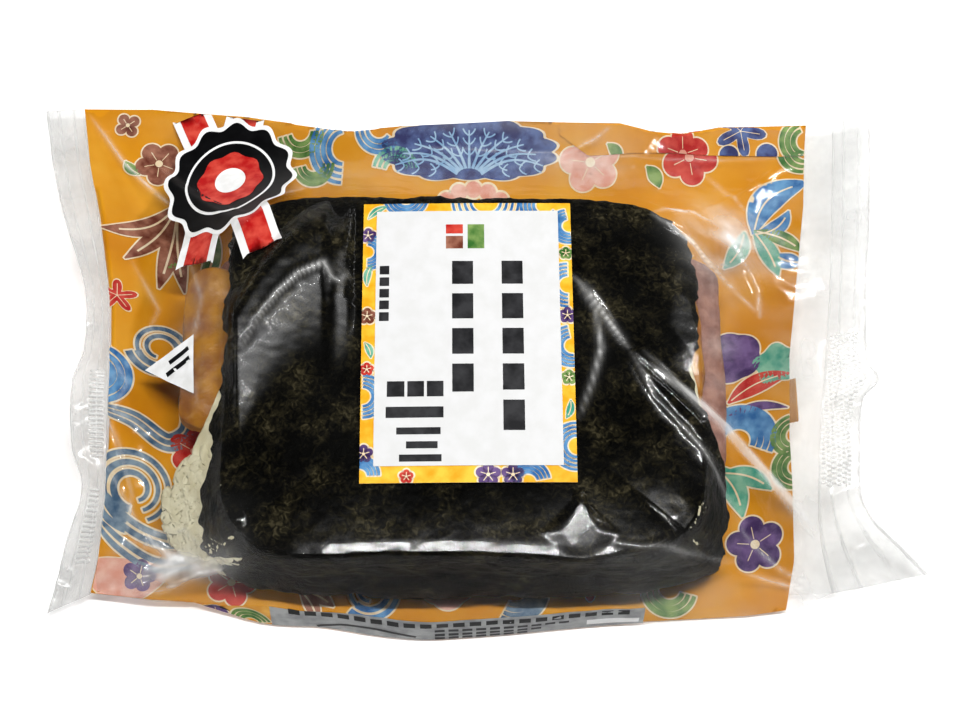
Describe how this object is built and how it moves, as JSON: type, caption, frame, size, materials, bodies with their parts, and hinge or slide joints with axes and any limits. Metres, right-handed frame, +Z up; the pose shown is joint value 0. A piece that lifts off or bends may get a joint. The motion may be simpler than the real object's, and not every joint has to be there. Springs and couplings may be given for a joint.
{
  "type": "packed onigiri rice ball",
  "caption": "Seaweed-wrapped block of rice with pork and egg, shut in a clear printed pillow bag with a paper label, lying flat.",
  "frame": {"origin": "on the table, under the middle of the rice block, in the flat underside", "axes": "+X along the bag from one seal strip to the other, +Y away from the viewer, +Z up through the label"},
  "size_m": [0.1972, 0.1276, 0.0347],
  "materials": {
    "film": "clear glossy film with fine creases",
    "printed_film": "orange printed film with blue, green and purple motifs",
    "label_paper": "smooth white label paper with a patterned border",
    "seaweed": "rough black-green dried seaweed",
    "rice": "moist white cooked rice",
    "egg": "soft yellow cooked egg",
    "pork": "pink fried luncheon pork"
  },
  "bodies": {
    "root": {"bag": "film", "label": "label_paper"}
  },
  "joints": []
}
